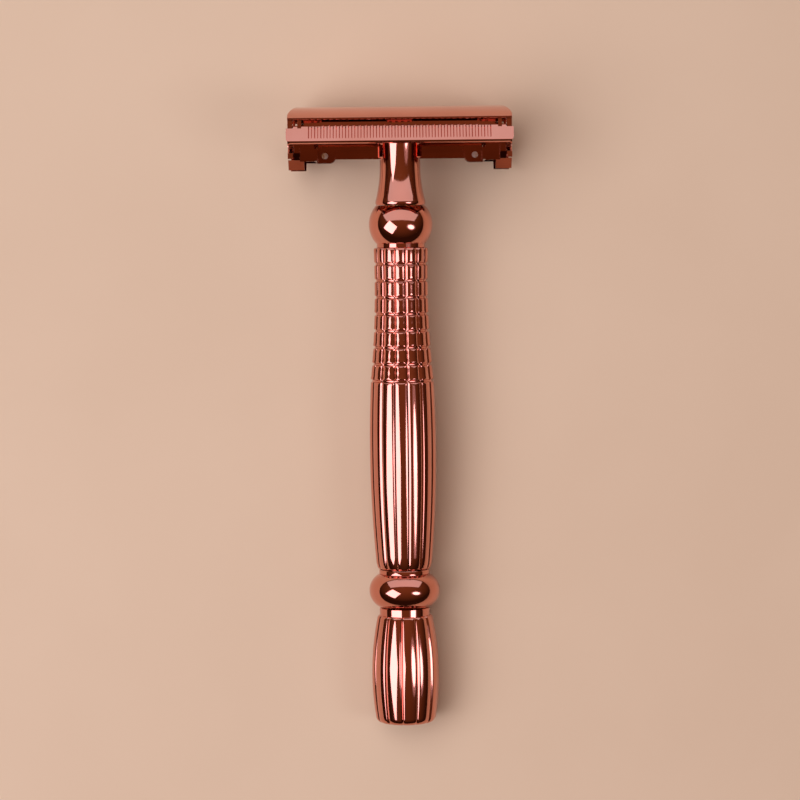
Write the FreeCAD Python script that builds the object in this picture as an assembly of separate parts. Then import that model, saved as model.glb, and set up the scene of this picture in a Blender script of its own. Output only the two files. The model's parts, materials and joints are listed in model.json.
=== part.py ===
# Twist-to-open safety razor with butterfly doors, lying on its back edge as it rests on a table.
# Every piece is drawn upright in the razor's own frame, in millimetres: Z runs up the handle from
# the knob's flat base, X runs along the blade and -Y is the front. lay_down() then tips the whole
# razor on to the table, where +Y runs up the handle, +Z is up and the origin is under its middle.
import FreeCAD, Part
import math
import os

from FreeCAD import Rotation, Vector

# ---------------------------------------------------------------- driving dimensions: the handle
KNOB_TOP = 21.2             # top of the knob's ribs
KNOB_COLLAR_TOP = 22.65     # top of the plain ring on the knob
BEAD_LOW = (22.75, 29.3)    # lower bead, bottom and top
GRIP = (30.15, 92.9)        # ribbed grip sleeve
GRIP_WAIST_START = 67.1     # where the ribbed barrel ends and the rings begin
BEAD_HIGH = (93.75, 101.1)  # upper bead
NECK_FOOT = 101.15
HEAD_FLOOR = 115.4          # underside of the base plate's web, where the neck ends
RING_R = 4.92               # plain rings between the beads and the grip
KNOB_R = 6.57
KNOB_MID = 9.6
KNOB_BEND = 54.3            # radius of the knob's barrel curve, seen from the side
BARREL_R = 6.55
BARREL_MID = 54.0
BARREL_BEND = 242.0
WAIST_R = 5.25
WAIST_MID = 86.0
WAIST_BEND = 184.0
BEAD_LOW_R = 6.9
BEAD_HIGH_R = 6.2
TUBE_R = 3.2                # inner tube, outside
TUBE_BORE = 2.46
ROD_R = 1.35
NECK_R = 3.95               # neck at its slimmest, NECK_WAIST up the handle
NECK_WAIST = 108.8
NECK_HEAD_R = 4.25          # neck where it meets the head
COLLAR_R = 4.45             # lugs at the neck's sides, round the slot for the crosshead bar
COLLAR_FOOT = 110.3
COLLAR_IN = 3.3             # the lugs start this far to each side of the middle

GRIP_LOBES = 14             # rounded ribs round the grip
GRIP_LOBE_TURN = -2.4       # degrees from the front to the nearest rib
GRIP_LOBE_R = 2.2           # how round each rib is
KNOB_LOBES = 12
KNOB_LOBE_TURN = 8.0
KNOB_LOBE_R = 2.6
LOBE_PROUD = 0.015          # a rib's own crest stands this far outside the turned body
RING_GROOVES = 8
RING_PITCH = 3.24
GROOVE_DEPTH = 0.55

# ------------------------------------------------------------------ driving dimensions: the head
EDGE = 117.5                # underside of the doors' outer lips, where they press the blade
DOOR_TOP = 120.3
DOOR_HALF = 21.45           # half length
DOOR_REACH = 10.5           # half width of the closed pair
DOOR_WALL = 0.9
DOOR_CORNER = (2.9, 1.8)    # width and height of the rounding at the doors' ends
SEAM = 0.05                 # half of the gap between the closed doors
EAR_IN = 20.45              # inner face of the doors' end ears
HINGE_Y = 9.2
HINGE_Z = 113.9
HINGE_PIN_R = 0.6
CAM_Y = 7.3                 # fixed cam stud that turns each door
CAM_Z = 115.95
CAM_STUD_R = 0.5
CAM_STUD_X = (18.6, 21.4)   # ends of each stud along the blade
RUN_GAP = 0.06              # radial clearance of what turns or slides
LIFT = 3.2                  # travel of the crosshead
OPEN_DEG = 82.0             # swing of each door over that travel

GUARD_HALF = 21.7
GUARD_TIP = 12.65
GUARD_TIP_Z = 113.35
GUARD_FOOT = 112.85
GUARD_SLOPE = ((10.6, 116.2), (12.5, 113.7))    # top and foot of the comb's slope
GUARD_LIP = (12.45, 113.02)  # where the rounded lip turns under
GUARD_BACK = (9.3, 10.15)   # inner faces of the safety bar and of the shelf over it
GUARD_CORNER = 1.3          # rounding at the ends of the safety bars
WEB_TOP = 116.5
SHELF = 116.2
RAIL_TOP = 117.04
RAIL = (2.4, 15.3)          # each blade rail runs between these distances from the middle
COMB_TEETH = 30
COMB_PITCH = 1.177
COMB_FLOOR = 0.2            # half width of a comb slot at its floor and at the slope's face
COMB_MOUTH = 0.37
COMB_DEPTH = 0.34
POST = (18.75, 19.5)        # corner posts that locate the blade
DRAIN_X = (6.2, 12.6)       # rinse slots in the web: centres of their round ends
DRAIN_Y = 6.4
DRAIN_R = 1.2

BAR_FOOT = 110.1
BAR_TOP = 113.0
BAR_HALF_Y = 1.25
BAR_HALF_X = 15.65
BAR_GROOVE_Z = (111.35, 111.75)
BAR_GROOVE_END = 12.2
RIVET_X = 14.5
RIVET_Z = 110.75
CARRIER_RIVET_HALF = 2.75
CHEEK = (12.45, 15.75)
CHEEK_FOOT = 109.35
CHEEK_OUT = 2.35            # outer face of the cheeks
CHEEK_ROUND = 1.25
YOKE_Z = (109.7, 112.05)    # the carriers' cross pieces, bottom and top
YOKE_END = 16.5
FLANGE_FOOT = 109.6
FLANGE_IN = 8.1
FLANGE_OUT = 8.9
UPRIGHT = (19.1, 20.25)
TONGUE_END = 20.3
TAB = (18.35, 21.4)         # slanted tab under each end plate, and its outline seen along X
TAB_OUTLINE = ((8.7, 109.9), (8.1, 109.9), (5.9, 108.1), (6.35, 108.0))
EAR_REACH = 3.8
BRIDGE_TOP = 118.3
BRIDGE_HALF = (18.6, 2.3)   # half length and half width of the bridge
BRIDGE_SHOULDER = 117.7
BRIDGE_RIVET_X = 17.65
BRIDGE_RIVET_R = 0.7
BRIDGE_RIVET_TOP = 117.4
BLADE_STUD_X = 16.0         # outer studs that fit the blade's slot
BLADE_STUD_R = 1.0
BLADE_STUD_TOP = 118.85

SIDES = {"left": -1, "right": 1}
FACES = {"front": -1, "rear": 1}
UP = Vector(0, 0, 1)
ALONG = Vector(1, 0, 0)
BACK = Vector(0, 1, 0)


# ------------------------------------------------------------------------------- drawing helpers
def box(x, y, z):
    """A block between the given pairs of limits."""
    return Part.makeBox(x[1] - x[0], y[1] - y[0], z[1] - z[0], Vector(x[0], y[0], z[0]))


def span(a, b, side=1):
    """The interval a to b, mirrored when side is -1, in rising order."""
    return tuple(sorted((side * a, side * b)))


def turned(points):
    """A solid of revolution about Z. points are (r, z), and a triple (r, z, 'mid') bends an arc."""
    return outline_face(points, lambda r, z: Vector(r, 0, z)).revolve(Vector(), UP, 360)


def outline_face(points, place):
    """A face from a closed outline, where a point marked 'mid' is the middle of an arc."""
    ring = list(points) + [points[0]]
    edges = []
    index = 0
    while index < len(ring) - 1:
        start = place(*ring[index][:2])
        if len(ring[index + 1]) == 3:
            bend, end = place(*ring[index + 1][:2]), place(*ring[index + 2][:2])
            edges.append(Part.Arc(start, bend, end).toShape())
            index += 2
        else:
            edges.append(Part.LineSegment(start, place(*ring[index + 1][:2])).toShape())
            index += 1
    return Part.Face(Part.Wire(edges))


def along_x(points, x0, x1):
    """An outline of (y, z) points drawn out along X."""
    face = outline_face(points, lambda y, z: Vector(x0, y, z))
    return face.extrude(Vector(x1 - x0, 0, 0))


def along_y(points, y0, y1):
    """An outline of (x, z) points drawn out along Y."""
    face = outline_face(points, lambda x, z: Vector(x, y0, z))
    return face.extrude(Vector(0, y1 - y0, 0))


def rod(radius, start, end):
    """A round bar between two points."""
    way = end.sub(start)
    return Part.makeCylinder(radius, way.Length, start, way)


def fused(shapes):
    """One tidy solid from shapes that touch or overlap."""
    shape = shapes[0].fuse(list(shapes[1:]))
    return shape.removeSplitter()


def mirror_y(shape, face):
    """shape as drawn for the rear (+Y), or its mirror image for the front."""
    return shape if face > 0 else shape.mirror(Vector(), BACK)


def mirror_x(shape, side):
    """shape as drawn for the right (+X), or its mirror image for the left."""
    return shape if side > 0 else shape.mirror(Vector(), ALONG)


# ------------------------------------------------------------------------------------ the handle
def bowed(peak, middle, bend, z):
    """Radius at z of a curve that bows out (bend > 0) or in (bend < 0) from peak at middle."""
    return peak - math.copysign(abs(bend) - math.sqrt(bend ** 2 - (z - middle) ** 2), bend)


def valleys(count, turn, peak, middle, bend, lobe_r, z0, z1):
    """Cutters for the creases between rounded ribs, which follow the bowed curve."""
    half = math.pi / count
    hub = peak + LOBE_PROUD - lobe_r
    crest = math.pi / 2 - half
    floor = hub * math.cos(half) + math.sqrt(lobe_r ** 2 - (hub * math.sin(half)) ** 2)
    pivot = Vector(peak - bend, 0, middle)
    start, end = (math.asin((z - middle) / bend) for z in (z0, z1))

    def on_lobe(side, share):
        """Point on a neighbouring rib, from the crease (share 0) to its crest (share 1)."""
        low = -math.asin(hub * math.sin(half) / lobe_r)
        angle = low + (math.pi / 2 - crest - low) * share
        return (hub * math.cos(half) + lobe_r * math.cos(angle),
                side * (hub * math.sin(half) + lobe_r * math.sin(angle)))

    far = (peak + 1) * math.cos(half), (peak + 1) * math.sin(half)
    outline = [(floor, 0), (*on_lobe(1, 0.5), "mid"), on_lobe(1, 1), far, (far[0], -far[1]),
               on_lobe(-1, 1), (*on_lobe(-1, 0.5), "mid")]
    face = outline_face(outline, lambda x, y: Vector(x, y, middle))
    face.rotate(pivot, Vector(0, -1, 0), math.degrees(start))
    cutter = face.revolve(pivot, Vector(0, -1, 0), math.degrees(end - start))
    cutters = []
    for index in range(count):
        copy = cutter.copy()
        copy.rotate(Vector(), UP, -90 + turn + (index + 0.5) * 360 / count)
        cutters.append(copy)
    return cutters


def bead(z, radius, bore):
    """A rounded bead between the two heights."""
    low, high = z
    return turned([(bore, low), (RING_R - 0.1, low), (radius, (low + high) / 2, "mid"),
                   (RING_R - 0.1, high), (bore, high)])


def upper_bead():
    """Upper bead with the plain ring under it."""
    ring = turned([(TUBE_R, GRIP[1] + 0.02), (4.7, GRIP[1] + 0.02), (4.7, BEAD_HIGH[0]),
                   (TUBE_R, BEAD_HIGH[0])])
    return fused([bead(BEAD_HIGH, BEAD_HIGH_R, TUBE_R), ring])


def lower_bead():
    """Lower bead with the plain ring over it."""
    ring = turned([(TUBE_R, BEAD_LOW[1]), (RING_R, BEAD_LOW[1]), (RING_R, GRIP[0] - 0.02),
                   (TUBE_R, GRIP[0] - 0.02)])
    return fused([bead(BEAD_LOW, BEAD_LOW_R, TUBE_R), ring])


def grip_sleeve():
    """Grip with a ribbed barrel below and eight ribbed rings above."""
    low, high = GRIP
    foot_r = bowed(BARREL_R, BARREL_MID, BARREL_BEND, low + 0.6)
    join_r = bowed(BARREL_R, BARREL_MID, BARREL_BEND, GRIP_WAIST_START)
    top_r = bowed(WAIST_R, WAIST_MID, -WAIST_BEND, high)
    join_mid = (GRIP_WAIST_START + high) / 2
    body = turned([
        (TUBE_R, low), (foot_r - 0.5, low), (foot_r, low + 0.6), (BARREL_R, BARREL_MID, "mid"),
        (join_r, GRIP_WAIST_START),
        (bowed(WAIST_R, WAIST_MID, -WAIST_BEND, join_mid), join_mid, "mid"),
        (top_r, high - 0.15), (top_r - 0.2, high), (TUBE_R, high)])
    cutters = valleys(GRIP_LOBES, GRIP_LOBE_TURN, BARREL_R, BARREL_MID, BARREL_BEND,
                      GRIP_LOBE_R, low - 1, GRIP_WAIST_START)
    cutters += valleys(GRIP_LOBES, GRIP_LOBE_TURN, WAIST_R, WAIST_MID, -WAIST_BEND,
                       GRIP_LOBE_R, GRIP_WAIST_START, high + 1)
    body = body.cut(cutters)
    return body.cut([ring_groove(GRIP_WAIST_START + index * RING_PITCH)
                     for index in range(RING_GROOVES)])


def ring_groove(z):
    """Cutter for one turned groove between two rings."""
    surface = bowed(WAIST_R, WAIST_MID, -WAIST_BEND, z)
    floor = surface - GROOVE_DEPTH
    return turned([(floor, z - 0.16), (surface + 0.1, z - 0.42), (surface + 1, z - 0.42),
                   (surface + 1, z + 0.42), (surface + 0.1, z + 0.42), (floor, z + 0.16)])


def twist_knob():
    """Ribbed barrel knob with a plain collar and a flat base."""
    foot_r = bowed(KNOB_R, KNOB_MID, KNOB_BEND, 1.3)
    top_r = bowed(KNOB_R, KNOB_MID, KNOB_BEND, KNOB_TOP - 0.4)
    body = turned([
        (0, 0), (foot_r - 1.5, 0), (foot_r - 0.42, 0.36, "mid"), (foot_r, 1.3),
        (KNOB_R, KNOB_MID, "mid"), (top_r, KNOB_TOP - 0.4), (top_r - 0.25, KNOB_TOP),
        (RING_R, KNOB_TOP), (RING_R, KNOB_COLLAR_TOP), (0, KNOB_COLLAR_TOP)])
    body = body.cut(valleys(KNOB_LOBES, KNOB_LOBE_TURN, KNOB_R, KNOB_MID, KNOB_BEND,
                            KNOB_LOBE_R, -1, KNOB_TOP))
    collar = turned([(0, KNOB_TOP - 0.8), (RING_R - 0.45, KNOB_TOP - 0.8), (RING_R, KNOB_TOP),
                     (RING_R, KNOB_COLLAR_TOP), (0, KNOB_COLLAR_TOP)])
    socket = rod(ROD_R, Vector(0, 0, ROD_FOOT), Vector(0, 0, KNOB_COLLAR_TOP + 1))
    return fused([body, collar]).cut(socket)


def neck():
    """Flared neck that carries the head, slotted for the crosshead bar."""
    body = turned([
        (TUBE_R, NECK_FOOT), (4.75, NECK_FOOT), (4.9, NECK_FOOT + 0.35), (4.86, NECK_FOOT + 0.8),
        (4.34, 104.3, "mid"), (NECK_R, NECK_WAIST), (NECK_R + 0.075, 112.1, "mid"),
        (NECK_HEAD_R, HEAD_FLOOR), (STEM_BORE, HEAD_FLOOR), (STEM_BORE, TUBE_TOP),
        (TUBE_R, TUBE_TOP)])
    lugs = turned([(STEM_BORE, COLLAR_FOOT), (COLLAR_R - 0.15, COLLAR_FOOT),
                   (COLLAR_R, COLLAR_FOOT + 0.2), (COLLAR_R, HEAD_FLOOR), (STEM_BORE, HEAD_FLOOR)])
    lugs = lugs.cut(box((-COLLAR_IN, COLLAR_IN), (-6, 6), (COLLAR_FOOT - 1, HEAD_FLOOR + 1)))
    slot_y = (-BAR_HALF_Y - 0.12, BAR_HALF_Y + 0.12)
    return fused([body, lugs]).cut(box((-6, 6), slot_y, (BAR_FOOT - 0.12, HEAD_FLOOR + 1)))


# ---------------------------------------------------------------------- the works in the handle
ROD_FOOT = 6.0
ROD_TOP = 107.0
TUBE_FOOT = 22.9
TUBE_TOP = 104.0
STEM_R = 2.4
STEM_BORE = STEM_R + RUN_GAP
STEM_FOOT = 96.5
STEM_BLIND = 108.4
TENON_R = 0.9               # the stem's tenon in the crosshead bar
FLANGE_Z = (24.4, 25.4)     # collar on the drive rod that holds it lengthwise
THREAD_Z = (97.6, 105.6)
THREAD_LEAD = LIFT * 2 / 3  # the knob turns one and a half times
THREAD_STARTS = 2
THREAD_TIP = 1.85
THREAD_CLEAR = 0.12


def inner_tube():
    """Core tube that the neck, beads and grip are pressed on."""
    return turned([(TUBE_BORE, TUBE_FOOT), (TUBE_R, TUBE_FOOT), (TUBE_R, TUBE_TOP),
                   (TUBE_BORE, TUBE_TOP)])


def rod_bush():
    """Bush in the tube's lower end that the drive rod turns in."""
    bore = ROD_R + RUN_GAP
    return turned([(bore, 26.6), (TUBE_BORE, 26.6), (TUBE_BORE, 31.0), (bore, 31.0)])


def thrust_washer():
    """Flat washer under the bush."""
    return turned([(ROD_R + 0.1, 26.2), (2.35, 26.2), (2.35, 26.58), (ROD_R + 0.1, 26.58)])


def spring_washer():
    """Coned washer that keeps the knob from turning by itself."""
    return turned([(ROD_R + 0.12, 25.42), (ROD_R + 0.12, 25.62), (2.3, 26.18), (2.3, 25.98)])


def retaining_plug():
    """Ring in the tube's mouth that holds the drive rod's collar."""
    return turned([(ROD_R + 0.1, 23.2), (TUBE_BORE, 23.2), (TUBE_BORE, 24.34), (ROD_R + 0.1, 24.34)])


def thread_ridges(root, tip, half_foot, half_tip, z0, z1):
    """The helical ridges of the thread, as solids that start just inside the root's metal."""
    ridges = []
    bite = math.copysign(0.15, root - tip)
    for start in range(THREAD_STARTS):
        helix = Part.makeHelix(THREAD_LEAD, z1 - z0, root)
        corners = [Vector(root + bite, 0, -half_foot), Vector(tip, 0, -half_tip),
                   Vector(tip, 0, half_tip), Vector(root + bite, 0, half_foot)]
        profile = Part.makePolygon(corners + corners[:1])
        ridge = Part.Wire(helix).makePipeShell([profile], True, True)
        ridge.translate(Vector(0, 0, z0))
        ridge.rotate(Vector(), UP, start * 360 / THREAD_STARTS)
        ridges.append(ridge)
    return ridges


def drive_rod():
    """Rod pressed in the knob, with a collar and a steep two-start screw at its top."""
    shaft = turned([(0, ROD_FOOT), (ROD_R, ROD_FOOT), (ROD_R, FLANGE_Z[0]), (2.2, FLANGE_Z[0]),
                    (2.2, FLANGE_Z[1]), (ROD_R, FLANGE_Z[1]), (ROD_R, ROD_TOP - 0.4),
                    (ROD_R - 0.4, ROD_TOP), (0, ROD_TOP)])
    return shaft.fuse(thread_ridges(ROD_R, THREAD_TIP, 0.32, 0.2, *THREAD_Z))


def crosshead_stem():
    """Sliding stem with the screw's nut thread inside and a tenon for the bar on top."""
    bore = THREAD_TIP + THREAD_CLEAR
    sleeve = turned([
        (bore, STEM_FOOT), (STEM_R, STEM_FOOT), (STEM_R, BAR_FOOT - 0.6),
        (STEM_R - 0.6, BAR_FOOT), (TENON_R, BAR_FOOT), (TENON_R, BAR_TOP), (0, BAR_TOP),
        (0, STEM_BLIND), (bore, STEM_BLIND)])
    between = THREAD_Z[0] + THREAD_LEAD * (0.5 / THREAD_STARTS)
    return sleeve.fuse(thread_ridges(bore, ROD_R + THREAD_CLEAR, 0.27, 0.15, between, between + 2.6))


# -------------------------------------------------------------------------------------- the head
def guard_bar():
    """Rear safety bar with its comb and posts, drawn before mirroring."""
    back, shelf_back = GUARD_BACK
    section = [
        (back, HEAD_FLOOR), (back, WEB_TOP), (shelf_back, WEB_TOP), (shelf_back, SHELF), *GUARD_SLOPE,
        (GUARD_TIP, GUARD_TIP_Z, "mid"), GUARD_LIP, (12.1, GUARD_FOOT),
        (11.0, GUARD_FOOT), (10.7, 113.2), (10.7, 115.0), (10.3, HEAD_FLOOR)]
    bar = along_x(section, -GUARD_HALF, GUARD_HALF)
    corner = GUARD_CORNER
    turn = corner * (1 - math.sqrt(0.5))
    frontal = [
        (-GUARD_HALF, 118), (-GUARD_HALF, GUARD_FOOT + corner),
        (turn - GUARD_HALF, GUARD_FOOT + turn, "mid"), (corner - GUARD_HALF, GUARD_FOOT - 0.01),
        (GUARD_HALF - corner, GUARD_FOOT - 0.01), (GUARD_HALF - turn, GUARD_FOOT + turn, "mid"),
        (GUARD_HALF, GUARD_FOOT + corner), (GUARD_HALF, 118)]
    bar = bar.common(along_y(frontal, 9, 13))
    bar = bar.cut([comb_cutter((index - (COMB_TEETH - 1) / 2) * COMB_PITCH)
                   for index in range(COMB_TEETH)])
    ends = [box(span(15.4, 23, side), (9.2, shelf_back), (112, 118)) for side in SIDES.values()]
    ends += [box(span(TONGUE_END, 23, side), (9.2, 10.85), (112, 118)) for side in SIDES.values()]
    posts = [box(span(*POST, side), (10.3, 10.85), (115.9, EDGE - 0.1)) for side in SIDES.values()]
    rails = [box(span(*RAIL, side), (9.45, 10.15), (WEB_TOP - 0.1, RAIL_TOP))
             for side in SIDES.values()]
    return fused([bar.cut(ends)] + posts + rails)


def comb_cutter(x):
    """Cutter for one comb slot on the guard's slope, round-ended and wider at its mouth."""
    top, foot = (Vector(x, y, z) for y, z in GUARD_SLOPE)
    down = foot.sub(top).normalize()
    out = Vector(0, -down.z, down.y)
    above, height = 0.7, 1.2
    spread = COMB_FLOOR + (COMB_MOUTH - COMB_FLOOR) * height / COMB_DEPTH
    start = top.sub(Vector(down).multiply(above)).sub(Vector(out).multiply(COMB_DEPTH))
    length = foot.sub(top).Length + above - COMB_MOUTH - 0.1
    lift = Vector(out).multiply(height)
    corners = [start.sub(ALONG * COMB_FLOOR), start.add(ALONG * COMB_FLOOR),
               start.add(lift).add(ALONG * spread), start.add(lift).sub(ALONG * spread)]
    slot = Part.Face(Part.makePolygon(corners + corners[:1])).extrude(Vector(down).multiply(length))
    tip = start.add(Vector(down).multiply(length))
    return slot.fuse(Part.makeCone(COMB_FLOOR, spread, height, tip, out))


def base_plate():
    """Guard plate: a web between two safety bars, open for the crosshead and for rinsing."""
    web = box((-18.9, 18.9), (-9.4, 9.4), (HEAD_FLOOR, WEB_TOP))
    web = web.cut([box(span(15.4, 20, side), span(7.95, 10, face), (114, 118))
                   for side in SIDES.values() for face in FACES.values()])
    tongues = [box(span(15, TONGUE_END, side), (-7.85, 7.85), (HEAD_FLOOR, WEB_TOP))
               for side in SIDES.values()]
    plate = fused([web] + tongues + [mirror_y(guard_bar(), face) for face in FACES.values()])
    holes = [box((-12.3, 12.3), (-1.5, 1.5), (114, 118))]
    for side in SIDES.values():
        holes.append(box(span(12.2, 16.25, side), (-2.55, 2.55), (114, 118)))
        holes.append(rod(BRIDGE_RIVET_R, Vector(side * BRIDGE_RIVET_X, 0, 114),
                         Vector(side * BRIDGE_RIVET_X, 0, 118)))
        for face in FACES.values():
            holes.append(rod(CAM_STUD_R, Vector(side * CAM_STUD_X[0], face * CAM_Y, CAM_Z),
                             Vector(side * CAM_STUD_X[1], face * CAM_Y, CAM_Z)))
            holes.append(drain_slot(side, face))
    return plate.cut(holes)


def drain_slot(side, face):
    """Cutter for one round-ended rinse slot in the web."""
    y = face * DRAIN_Y
    ends = [Vector(side * x, y, 114) for x in DRAIN_X]
    middle = box(span(*DRAIN_X, side), (y - DRAIN_R, y + DRAIN_R), (114, 118))
    return fused([middle] + [rod(DRAIN_R, end, end.add(UP * 4)) for end in ends])


def blade_bridge():
    """Bar under the blade's middle, with three studs that fit the blade's slot."""
    half_x, half_y = BRIDGE_HALF
    bar = along_x([
        (-half_y, WEB_TOP), (half_y, WEB_TOP), (half_y, BRIDGE_SHOULDER), (half_y - 0.4, 118.15),
        (0, BRIDGE_TOP, "mid"), (0.4 - half_y, 118.15), (-half_y, BRIDGE_SHOULDER)], -half_x, half_x)
    studs = [rod(BLADE_STUD_R, Vector(x, 0, BRIDGE_SHOULDER), Vector(x, 0, BLADE_STUD_TOP))
             for x in (-BLADE_STUD_X, 0, BLADE_STUD_X)]
    holes = [rod(BRIDGE_RIVET_R, Vector(side * BRIDGE_RIVET_X, 0, WEB_TOP - 0.5),
                 Vector(side * BRIDGE_RIVET_X, 0, BRIDGE_RIVET_TOP)) for side in SIDES.values()]
    return fused([bar] + studs).cut(holes)


def bridge_rivet(side):
    """Rivet that holds the bridge on the web."""
    x = side * BRIDGE_RIVET_X
    head_r, head_height = 1.05, 0.45
    return fused([rod(BRIDGE_RIVET_R, Vector(x, 0, HEAD_FLOOR), Vector(x, 0, BRIDGE_RIVET_TOP)),
                  rod(head_r, Vector(x, 0, HEAD_FLOOR - head_height), Vector(x, 0, HEAD_FLOOR))])


def cam_stud(side, face):
    """Stud on the base plate's end that guides a door's cam slot."""
    y = face * CAM_Y
    return rod(CAM_STUD_R, Vector(side * CAM_STUD_X[0], y, CAM_Z), Vector(side * CAM_STUD_X[1], y, CAM_Z))


def crosshead_bar():
    """Bar that the stem pushes up and down through the neck."""
    bar = box((-BAR_HALF_X, BAR_HALF_X), (-BAR_HALF_Y, BAR_HALF_Y), (BAR_FOOT, BAR_TOP))
    grooves = [box((-BAR_GROOVE_END, BAR_GROOVE_END), span(BAR_HALF_Y - 0.12, BAR_HALF_Y + 1, face),
                   BAR_GROOVE_Z)
               for face in FACES.values()]
    holes = [rod(TENON_R, Vector(0, 0, 109), Vector(0, 0, 114))]
    holes += [rod(HINGE_PIN_R, Vector(side * RIVET_X, -2, RIVET_Z), Vector(side * RIVET_X, 2, RIVET_Z))
              for side in SIDES.values()]
    return bar.cut(grooves + holes)


def carrier(side):
    """Forked end piece of the crosshead, which carries a hinge pin of each door."""
    round_off = CHEEK_ROUND
    turn = round_off * (1 - math.sqrt(0.5))
    cheek_outline = [
        (CHEEK[0], BAR_TOP), (CHEEK[0], CHEEK_FOOT + round_off),
        (CHEEK[0] + turn, CHEEK_FOOT + turn, "mid"), (CHEEK[0] + round_off, CHEEK_FOOT),
        (CHEEK[1] + 0.3, CHEEK_FOOT), (CHEEK[1] + 0.3, BAR_TOP - 0.95), (CHEEK[1] - 0.05, BAR_TOP)]
    pieces = []
    for face in FACES.values():
        pieces.append(along_y(cheek_outline, *span(BAR_HALF_Y + 0.05, CHEEK_OUT, face)))
        pieces.append(box((CHEEK[1], YOKE_END), span(BAR_HALF_Y, FLANGE_OUT, face), YOKE_Z))
        pieces.append(box((YOKE_END - 0.1, UPRIGHT[0] + 0.1), span(FLANGE_IN, FLANGE_OUT, face),
                          (FLANGE_FOOT, BAR_TOP)))
        pieces.append(mirror_y(along_x(upright_outline(), *UPRIGHT), face))
        pieces.append(mirror_y(along_x(TAB_OUTLINE, *TAB), face))
    shape = fused(pieces + [box((CHEEK[1], YOKE_END), (-2, 2), YOKE_Z)])
    rivet = rod(HINGE_PIN_R, Vector(RIVET_X, -4, RIVET_Z), Vector(RIVET_X, 4, RIVET_Z))
    pins = [rod(HINGE_PIN_R, Vector(18, face * HINGE_Y, HINGE_Z), Vector(21, face * HINGE_Y, HINGE_Z))
            for face in FACES.values()]
    return mirror_x(shape.cut([rivet] + pins), side)


def upright_outline():
    """End plate of a carrier, seen along X, for the rear."""
    return [(FLANGE_IN, 109.85), (9.0, 109.85), (10.1, 111.2), (10.15, 114.2), (9.2, 115.15, "mid"),
            (FLANGE_IN, 114.2)]


def carrier_rivet(side):
    """Steel rivet through the carrier's cheeks and the bar."""
    x = side * RIVET_X
    return rod(HINGE_PIN_R, Vector(x, -CARRIER_RIVET_HALF, RIVET_Z), Vector(x, CARRIER_RIVET_HALF, RIVET_Z))


def hinge_pin(side, face):
    """Pin that a door's ear turns on."""
    y = face * HINGE_Y
    return rod(HINGE_PIN_R, Vector(side * 18.95, y, HINGE_Z), Vector(side * (DOOR_HALF + 0.1), y, HINGE_Z))


def cam_slot():
    """Cutter for the rear door's cam slot: the stud's path as the door lifts and turns."""
    steps = 12
    half = CAM_STUD_R + RUN_GAP + 0.04
    centres = []
    for index in range(steps + 1):
        share = index / steps
        turn = math.radians(OPEN_DEG * share)
        y, z = CAM_Y - HINGE_Y, CAM_Z - HINGE_Z - LIFT * share
        centres.append(Vector(EAR_IN - 0.5, HINGE_Y + y * math.cos(turn) - z * math.sin(turn),
                              HINGE_Z + y * math.sin(turn) + z * math.cos(turn)))
    path = Part.BSplineCurve()
    path.interpolate(centres)
    ways = [path.value(u) for u in linspace(path.FirstParameter, path.LastParameter, 2 * steps + 1)]
    edges_out, edges_in = [], []
    for index, point in enumerate(ways):
        ahead = ways[min(index + 1, len(ways) - 1)].sub(ways[max(index - 1, 0)]).normalize()
        across = Vector(0, -ahead.z, ahead.y) * half
        edges_out.append(point.add(across))
        edges_in.append(point.sub(across))
    outer, inner = Part.BSplineCurve(), Part.BSplineCurve()
    outer.interpolate(edges_out)
    inner.interpolate(edges_in)
    caps = [Part.LineSegment(edges_out[-1], edges_in[-1]).toShape(),
            Part.LineSegment(edges_in[0], edges_out[0]).toShape()]
    wire = Part.Wire(Part.__sortEdges__([outer.toShape(), caps[0], inner.toShape(), caps[1]]))
    slot = Part.Face(wire).extrude(Vector(2, 0, 0))
    rounds = [rod(half, end, end.add(Vector(2, 0, 0))) for end in (ways[0], ways[-1])]
    return slot.fuse(rounds)


def linspace(start, end, count):
    """count evenly spaced values from start to end."""
    return [start + (end - start) * index / (count - 1) for index in range(count)]


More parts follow.
